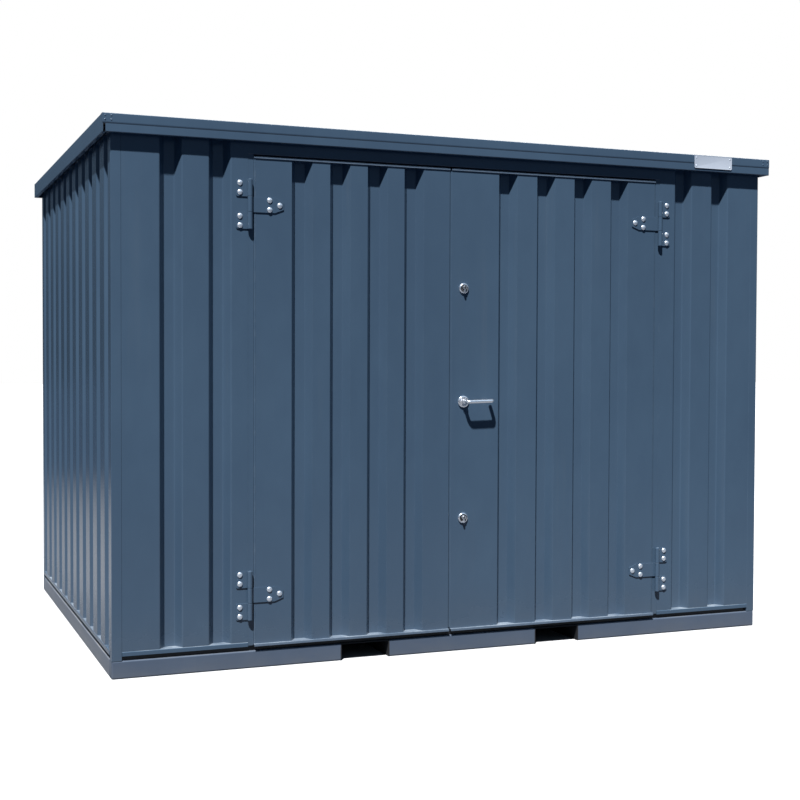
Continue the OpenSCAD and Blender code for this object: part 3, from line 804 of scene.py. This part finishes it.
def foldedStrip(bm, profile, x0, x1, sheet, radius):
    # a folded sheet along X: profile is its (y, z) line seen from the left end
    verts = [bm.verts.new((x0, y, z)) for y, z in profile]
    for pair in zip(verts, verts[1:]):
        bm.edges.new(pair)
    bevelEdges(bm, verts[1:-1], radius, 4, "VERTICES")
    swept = bmesh.ops.extrude_edge_only(bm, edges=list(bm.edges))["geom"]
    bmesh.ops.translate(bm, vec=(x1 - x0, 0, 0), verts=vertsOf(swept))
    bmesh.ops.recalc_face_normals(bm, faces=bm.faces)
    facing = sum((face.normal * face.calc_area() for face in bm.faces), Vector())
    if facing.y > 0:
        bmesh.ops.reverse_faces(bm, faces=bm.faces)
    bmesh.ops.solidify(bm, geom=bm.faces, thickness=sheet)
    bmesh.ops.recalc_face_normals(bm, faces=bm.faces)


def makeFrontFascia(s):
    low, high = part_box("roof_fascia_front")
    y = low.y
    middle = low.z + (high.z - low.z) * s["upperShare"]
    upper = bmesh.new()
    upperLine = [(y + s["flange"], high.z), (y, high.z), (y, middle), (y + s["step"], middle - s["hem"])]
    foldedStrip(upper, upperLine, low.x, high.x, s["sheet"], s["radius"])
    finishPiece(upper, "fasciaUpperBand", "container", "wall_paint", ("roof_fascia_front",))
    lower = bmesh.new()
    back = y + s["step"]
    lowerLine = [(back, middle + s["lap"]), (back, low.z), (back + s["lip"], low.z)]
    left, right = low.x + s["leftShort"], high.x - s["rightShort"]
    foldedStrip(lower, lowerLine, left, right, s["sheet"], s["radius"])
    finishPiece(lower, "fasciaLowerBand", "container", "wall_paint")


makeFrontFascia(fasciaSettings)
print("front fascia made")


# --- hinges: two fixed tabs and a pointed strap round one pin ---

hingeSettings = {
    "axisOut": 0.012, "barrel": 0.0200, "tabLong": 0.055, "tabHigh": 0.066, "strapHigh": 0.060,
    "knuckleGap": 0.001, "plate": 0.004, "edge": 0.0009, "corner": 0.007,
    "pin": 0.005, "pinEdge": 0.0002, "pinHead": 0.0148, "headHeights": (0.0012, 0.0028, 0.0034),
}


def hingeHeights(node):
    # middle heights of the two hinges: the solids of one node lie in two clusters
    zs = sorted(vert.co.z for vert in nodes[node].data.vertices)
    middle = (zs[0] + zs[-1]) / 2
    lower = [z for z in zs if z < middle]
    upper = [z for z in zs if z >= middle]
    return [(min(part) + max(part)) / 2 for part in (lower, upper)]


def plateWithCorners(bm, low, high, s, side):
    # a flat plate in the wall plane; its corners away from the barrel are rounded
    made = addBox(bm, low, high)
    outerX = low[0] if side < 0 else high[0]
    corners = [edge for edge in {e for v in made for e in v.link_edges}
               if runsDeep(edge) and all(abs(v.co.x - outerX) < 1e-6 for v in edge.verts)]
    bevelEdges(bm, corners, s["corner"], 4)


def barrelOutline(outer, inner, height, edge):
    # half the section of a bar or a ring with a small chamfer at both ends
    return [(inner, 0), (outer - edge, 0), (outer, edge),
            (outer, height - edge), (outer - edge, height), (inner, height)]


def discOutline(radius, top, base=0):
    return [(0, base), (radius, base), (radius, top), (0, top)]


def makeFixedHinges(node, name, side, s):
    low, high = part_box(node)
    face = high.y
    axisX = high.x - s["barrel"] / 2 if side < 0 else low.x + s["barrel"] / 2
    axisY = face - s["axisOut"]
    half = s["strapHigh"] / 2 + s["knuckleGap"]
    heights = hingeHeights(node)
    barrelHalf = heights[0] - low.z
    head = s["pinHead"] / 2
    rim, shoulder, top = s["headHeights"]
    bm = bmesh.new()
    for z in heights:
        for way in (-1, 1):
            near, far = z + way * half, z + way * (half + s["tabHigh"])
            xs = sorted((axisX, axisX + side * s["tabLong"]))
            zs = sorted((near, far))
            plateWithCorners(bm, (xs[0], face - s["plate"], zs[0]), (xs[1], face, zs[1]), s, side)
            knuckle = barrelOutline(s["barrel"] / 2, 0, barrelHalf - half, s["edge"])
            addTurned(bm, knuckle, (axisX, axisY, z + way * half), (0, 0, way))
            pinHead = [(0, 0), (head, 0), (head, rim), (head * 0.75, shoulder), (0, top)]
            addTurned(bm, pinHead, (axisX, axisY, z + way * barrelHalf), (0, 0, way), 24)
        pin = barrelOutline(s["pin"], 0, 2 * half, s["pinEdge"])
        addTurned(bm, pin, (axisX, axisY, z - half), (0, 0, 1), 24)
    bmesh.ops.recalc_face_normals(bm, faces=bm.faces)
    finishPiece(bm, name, "container", "wall_paint", (node,))
    return axisX


strapSettings = dict(hingeSettings, pinHole=0.0053, cutLong=0.036, cutHigh=0.014)


def addRing(bm, outer, inner, height, edge, place, steps=32):
    outline = barrelOutline(outer, inner, height, edge)
    verts = [bm.verts.new((radius, 0.0, z)) for radius, z in outline]
    loop = [bm.edges.new((verts[i], verts[(i + 1) % len(verts)])) for i in range(len(verts))]
    before = set(bm.faces)
    spinRound(bm, verts + loop, steps)
    faces = [face for face in bm.faces if face not in before]
    made = list({vert for face in faces for vert in face.verts})
    bmesh.ops.recalc_face_normals(bm, faces=faces)
    bmesh.ops.translate(bm, vec=place, verts=made)


def makeStraps(node, name, side, s):
    # side is the way the strap points from its axis
    low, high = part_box(node)
    face = high.y
    axisX = low.x + s["barrel"] / 2 if side > 0 else high.x - s["barrel"] / 2
    tip = high.x if side > 0 else low.x
    bm = bmesh.new()
    for z in hingeHeights(node):
        half = min(z - low.z, high.z - z)
        shoulder, blunt = tip - side * s["cutLong"], half - s["cutHigh"]
        outline = [(axisX, half), (shoulder, half), (tip, blunt),
                   (tip, -blunt), (shoulder, -half), (axisX, -half)]
        plate = bm.faces.new([bm.verts.new((x, face, z + dz)) for x, dz in outline])
        grown = bmesh.ops.extrude_face_region(bm, geom=[plate])["geom"]
        bmesh.ops.translate(bm, vec=(0, -s["plate"], 0), verts=vertsOf(grown))
        place = (axisX, face - s["axisOut"], z - half)
        addRing(bm, s["barrel"] / 2, s["pinHole"], 2 * half, s["edge"], place)
    bmesh.ops.recalc_face_normals(bm, faces=bm.faces)
    finishPiece(bm, name, bodyOf[node], "wall_paint", (node,))


leftAxisX = makeFixedHinges("hinge_plates_left", "hingeTabsLeft", -1, hingeSettings)
rightAxisX = makeFixedHinges("hinge_plates_right", "hingeTabsRight", 1, hingeSettings)
makeStraps("left_hinge_straps", "hingeStrapsLeft", 1, strapSettings)
makeStraps("right_hinge_straps", "hingeStrapsRight", -1, strapSettings)
print("hinges made")


# --- hinge bolts: domed heads outside, washers and nuts inside ---

boltSettings = {
    "head": 0.0113, "rise": 0.0055, "dome": ((1, 0.12), (0.93, 0.42), (0.74, 0.74), (0.42, 0.94)),
    "tabReach": 0.039, "tabHeights": (0.084, 0.047), "tabSeat": 0.0022,
    "strapPlaces": ((0.083, 0.019), (0.083, -0.019), (0.125, 0.0)), "strapSeat": 0.0015,
    "nut": 0.0085, "nutHigh": 0.0075, "washer": 0.011, "washerHigh": 0.0016,
}


def addBoltHead(bm, place, s):
    r, h = s["head"], s["rise"]
    dome = [(r * across, h * up) for across, up in s["dome"]]
    addTurned(bm, [(0, 0), (r, 0), *dome, (0, h)], place, (0, -1, 0), 20)


def addNut(bm, place, s):
    x, y, z = place
    addTurned(bm, discOutline(s["washer"], s["washerHigh"]), place, (0, 1, 0), 20)
    addTurned(bm, discOutline(s["nut"], s["nutHigh"]), (x, y + s["washerHigh"], z), (0, 1, 0), 6)


def boltOn(node, name, body, places, seat, s):
    # each place is (x, height from the hinge's middle); seat is how far behind the plate the nuts sit
    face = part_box(node)[1].y
    bm = bmesh.new()
    for z in hingeHeights(node):
        for x, dz in places:
            addBoltHead(bm, (x, face - hingeSettings["plate"], z + dz), s)
            addNut(bm, (x, face + seat, z + dz), s)
    bmesh.ops.recalc_face_normals(bm, faces=bm.faces)
    finishPiece(bm, name, body, "zinc", sharpAngle=50.0)


def makeHingeBolts(label, axisX, side, s):
    # side is the way the fixed tabs point from the axis
    leaf = label.lower()
    tabPlaces = [(axisX + side * s["tabReach"], way * dz) for dz in s["tabHeights"] for way in (-1, 1)]
    strapPlaces = [(axisX - side * reach, dz) for reach, dz in s["strapPlaces"]]
    boltOn("hinge_plates_" + leaf, "tabBolts" + label, "container", tabPlaces, s["tabSeat"], s)
    boltOn(leaf + "_hinge_straps", "strapBolts" + label, leaf + "_door", strapPlaces, s["strapSeat"], s)


makeHingeBolts("Left", leftAxisX, -1, boltSettings)
makeHingeBolts("Right", rightAxisX, 1, boltSettings)
print("hinge bolts made")


# --- handle: a rose with a turned rim and a bent lever ---

leverSettings = {
    "grip": 0.0080, "inset": 0.009, "bendRadius": 0.014, "elbow": 0.012, "cap": 0.002, "tailGap": 0.012,
    "rise": 1.6,    # degrees towards the free end
    "collar": ((0, 0.010), (0.0105, 0.010), (0.0118, 0.0112),
               (0.0118, 0.020), (0.0100, 0.0225), (0, 0.0225)),    # (radius, height) from the leaf's face
}


def makeLever(s):
    # a round bar swept out of the rose, along the leaf and back towards it
    low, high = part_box("lever_handle")
    joint = next(j for j in frame["joints"] if j["name"] == "lever_turn")
    x, z = joint["pos_m"][0], joint["pos_m"][2]
    outY, endX = low.y + s["inset"], high.x - s["inset"]
    elbow, turn = s["elbow"], s["bendRadius"]
    points = [Vector((x, high.y, z)), Vector((x, outY + elbow, z))]
    for step in range(1, 9):
        angle = math.pi / 2 * step / 8
        dx, dy = elbow * (1 - math.cos(angle)), elbow * (1 - math.sin(angle))
        points.append(Vector((x + dx, outY + dy, z)))
    points.append(Vector((endX - turn, outY, z)))
    for step in range(1, 11):
        angle = math.pi / 2 * step / 10
        dx, dy = turn * math.sin(angle), turn * (1 - math.cos(angle))
        points.append(Vector((endX - turn + dx, outY + dy, z)))
    points.append(Vector((endX, high.y - s["tailGap"], z)))
    lift = math.tan(math.radians(s["rise"]))
    points = [point + Vector((0, 0, max(0.0, point.x - x - elbow) * lift)) for point in points]
    curve = bpy.data.curves.new("leverPath", "CURVE")
    curve.dimensions = "3D"
    curve.bevel_depth = s["grip"]
    curve.bevel_resolution = 6
    curve.use_fill_caps = True
    spline = curve.splines.new("POLY")
    spline.points.add(len(points) - 1)
    for knot, point in zip(spline.points, points):
        knot.co = (*point, 1.0)
    holder = addObject("leverPath", curve)
    bar = holder.evaluated_get(bpy.context.evaluated_depsgraph_get())
    bm = bmesh.new()
    bm.from_mesh(bpy.data.meshes.new_from_object(bar))
    bpy.data.objects.remove(holder)
    bmesh.ops.remove_doubles(bm, verts=bm.verts, dist=1e-6)
    rims = [e for e in bm.edges if len(e.link_faces) == 2 and e.calc_face_angle(0.0) > math.radians(60)]
    bevelEdges(bm, rims, s["cap"], 3)
    addTurned(bm, s["collar"], (x, high.y, z), (0, -1, 0), 40)
    bmesh.ops.recalc_face_normals(bm, faces=bm.faces)
    finishPiece(bm, "doorLever", "lever", "stainless", ("lever_handle",), sharpAngle=45.0)


roseSettings = {
    "rim": ((0, 0.0035), (0.0012, 0.0062), (0.004, 0.0078), (0.0075, 0.0080)),    # (inset, height)
    "dish": ((0.0145, 0.0072), (0.0128, 0.0060), (0.0110, 0.0060)),               # (radius, height)
}


def makeRose(s):
    low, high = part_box("handle_rose")
    place = ((low.x + high.x) / 2, high.y, (low.z + high.z) / 2)
    r = (high.x - low.x) / 2
    rim = [(r - inset, height) for inset, height in s["rim"]]
    bm = bmesh.new()
    addTurned(bm, [(0, 0), (r, 0), *rim, *s["dish"], (0, s["dish"][-1][1])], place, (0, -1, 0), 48)
    finishPiece(bm, "handleRose", "right_door", "stainless", ("handle_rose",), sharpAngle=50.0)


lockSettings = {
    "rimBase": 0.003, "rimHigh": 0.0065, "rimCrown": 0.0012, "rimInsets": (0.002, 0.005),
    "well": 0.0148, "wellLip": 0.0015, "wellFloor": 0.0030, "wellShade": 0.0036,
    "core": 0.0090, "coreFoot": 0.0032, "coreOut": 0.0165, "coreEdge": 0.0012, "coreUp": 0.003,
    "web": 0.0045, "webDrop": 0.0215, "webFoot": 0.0034, "webBack": 0.0006, "webRadius": 0.0035,
    "slotWide": 0.0062, "slotHigh": 0.0092, "slotProud": 0.0002, "slotDeep": 0.002,
}


def makeLocks(s):
    low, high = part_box("door_locks")
    x = (low.x + high.x) / 2
    r = (high.x - low.x) / 2
    face, tip = high.y, high.y - s["coreOut"]
    crown, floor = s["rimHigh"] + s["rimCrown"], s["wellFloor"]
    outer, inner = (r - inset for inset in s["rimInsets"])
    rim = [(0, 0), (r, 0), (r, s["rimBase"]), (outer, s["rimHigh"]), (inner, crown),
           (s["well"] + s["wellLip"], crown), (s["well"], floor), (0, floor)]
    core = [(0, s["coreFoot"]), (s["core"], s["coreFoot"]), (s["core"], s["coreOut"] - s["coreEdge"]),
            (s["core"] - s["coreEdge"], s["coreOut"]), (0, s["coreOut"])]
    slotX, slotZ = s["slotWide"] / 2, s["slotHigh"] / 2
    bm = bmesh.new()
    slots = bmesh.new()
    for z in (low.z + r, high.z - r):
        coreZ = z + s["coreUp"]
        addTurned(bm, rim, (x, face, z), (0, -1, 0), 40)
        # painted shade: a near-black disc in the well round the cylinder
        addTurned(slots, discOutline(s["well"], s["wellShade"], floor), (x, face, z), (0, -1, 0), 32)
        addTurned(bm, core, (x, face, coreZ), (0, -1, 0), 32)
        # the flat web of the cylinder hangs below its round core
        addBox(bm, (x - s["web"], tip + s["webBack"], z - s["webDrop"]),
               (x + s["web"], face - s["webFoot"], z), s["webRadius"], 3)
        # painted shade: near-black boxes for the keyholes
        addBox(slots, (x - slotX, tip - s["slotProud"], coreZ - slotZ),
               (x + slotX, tip + s["slotDeep"], coreZ + slotZ))
    bmesh.ops.recalc_face_normals(bm, faces=bm.faces)
    finishPiece(bm, "doorLocks", "right_door", "zinc", ("door_locks",), lockSteel, sharpAngle=45.0)
    finishPiece(slots, "keyholeAndWellShade", "right_door", "zinc", material=rubberAndShadePaint, evenNormals=False)


makeLever(leverSettings)
makeRose(roseSettings)
makeLocks(lockSettings)
print("handle and locks made")


# --- small things: blank plate, rivets, roof screws, seals ---

plateSettings = {
    "corner": 0.005, "rim": 0.0035, "sink": 0.0005, "rivetInset": 0.010, "rivetSeat": 0.0004,
    "rivet": ((0, 0), (0.0032, 0), (0.0026, 0.0008), (0, 0.0013)),
}


def makeBlankPlate(s):
    low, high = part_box("blank_plate")
    bm = bmesh.new()
    addBox(bm, low, high)
    bevelEdges(bm, [edge for edge in bm.edges if runsDeep(edge)], s["corner"], 4)
    front = min(bm.faces, key=lambda face: face.calc_center_median().y)
    bmesh.ops.inset_region(bm, faces=[front], thickness=s["rim"], depth=-s["sink"])
    finishPiece(bm, "blankPlate", "container", "plate_white", ("blank_plate",), evenNormals=False)
    rivets = bmesh.new()
    inset, y = s["rivetInset"], low.y + s["rivetSeat"]
    for x in (low.x + inset, high.x - inset):
        for z in (low.z + inset, high.z - inset):
            addTurned(rivets, s["rivet"], (x, y, z), (0, -1, 0), 16)
    finishPiece(rivets, "plateRivets", "container", "zinc", sharpAngle=60.0)


fasciaRivetSettings = {
    "rivet": ((0, 0), (0.0038, 0), (0.0030, 0.0010), (0, 0.0016)), "seat": 0.0001,
    "across": (0.010, 0.034), "down": (0.010, 0.026),
}


def makeFasciaRivets(s):
    low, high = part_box("roof_fascia_front")
    outer, inner = s["across"]
    bm = bmesh.new()
    for x in (low.x + outer, low.x + inner, high.x - inner, high.x - outer):
        for drop in s["down"]:
            addTurned(bm, s["rivet"], (x, low.y + s["seat"], high.z - drop), (0, -1, 0), 16)
    finishPiece(bm, "fasciaRivets", "container", "wall_paint", sharpAngle=60.0)


roofScrewSettings = {
    "washer": 0.0085, "washerTop": 0.8, "washerHigh": 0.0016, "head": 0.0052, "headHigh": 0.0048,
    "rowInset": 0.055, "sheet": 0.0015, "ribTop": (0.02, 0.04),
}


def makeRoofScrews(s):
    low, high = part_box("roof_sheet")
    ribs = sorted({round(vert.co.x, 4) for vert in nodes["roof_sheet"].data.vertices
                   if vert.co.z > high.z - 1e-4})
    narrow, wide = s["ribTop"]
    tops = [(a + b) / 2 for a, b in zip(ribs, ribs[1:]) if narrow < b - a < wide]
    pans = [(a + b) / 2 for a, b in zip(tops, tops[1:])]
    r, h = s["washer"], s["washerHigh"]
    washer = [(0, 0), (r, 0), (r * s["washerTop"], h), (0, h)]
    panZ = low.z + s["sheet"]
    bm = bmesh.new()
    for x in pans:
        for y in (low.y + s["rowInset"], high.y - s["rowInset"]):
            addTurned(bm, washer, (x, y, panZ), steps=12)
            addTurned(bm, discOutline(s["head"], s["headHigh"]), (x, y, panZ + h), steps=6)
    finishPiece(bm, "roofScrews", "container", "zinc", sharpAngle=40.0)


sealSettings = {
    "depth": 0.005, "wide": 0.007, "sideInset": 0.0285, "foot": 0.03,
    "topDrop": 0.022, "topHigh": 0.010, "topInset": 0.04, "radius": 0.001,
}


def makeSeals(s):
    # soft strips on the stops that the leaves close against
    low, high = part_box("door_stops")
    bm = bmesh.new()
    front, inner = low.y - s["depth"], high.z - s["topDrop"]
    for x in (low.x + s["sideInset"], high.x - s["sideInset"] - s["wide"]):
        addBox(bm, (x, front, low.z + s["foot"]), (x + s["wide"], low.y, inner), s["radius"])
    addBox(bm, (low.x + s["topInset"], front, inner),
           (high.x - s["topInset"], low.y, inner + s["topHigh"]), s["radius"])
    bmesh.ops.recalc_face_normals(bm, faces=bm.faces)
    finishPiece(bm, "doorSeals", "container", "wall_paint", material=rubberAndShadePaint)


stripSettings = {
    "seamWide": 0.0062, "seamBack": 0.0012, "jambGap": 0.0010, "jambBack": 0.0010,
    "thick": 0.0012, "endGap": 0.004,
}


def makeStrips(s):
    # narrow painted strips that close the slots beside the leaves' edges to hairlines
    leftLow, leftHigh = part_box("left_leaf_panel")
    rightLow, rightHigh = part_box("right_leaf_panel")
    z0, z1 = leftLow.z + s["endGap"], leftHigh.z - s["endGap"]
    faceY = rightLow.y
    seam = bmesh.new()
    addBox(seam, (rightLow.x - s["seamWide"], faceY + s["seamBack"], z0),
           (rightLow.x + s["thick"], faceY + s["seamBack"] + s["thick"], z1))
    finishPiece(seam, "seamStrip", "right_door", "wall_paint", evenNormals=False)
    jambs = bmesh.new()
    headerLow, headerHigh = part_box("door_header")
    sill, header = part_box("door_jamb_left")[0].z + s["endGap"], headerLow.z
    ends = ((headerLow.x, leftLow.x - s["jambGap"]), (headerHigh.x, rightHigh.x + s["jambGap"]))
    for tubeX, leafX in ends:
        addBox(jambs, (min(tubeX, leafX), faceY + s["jambBack"], sill),
               (max(tubeX, leafX), faceY + s["jambBack"] + s["thick"], header))
    finishPiece(jambs, "jambStrips", "container", "wall_paint", evenNormals=False)


makeStrips(stripSettings)
makeBlankPlate(plateSettings)
makeFasciaRivets(fasciaRivetSettings)
makeRoofScrews(roofScrewSettings)
makeSeals(sealSettings)
print("small pieces made")
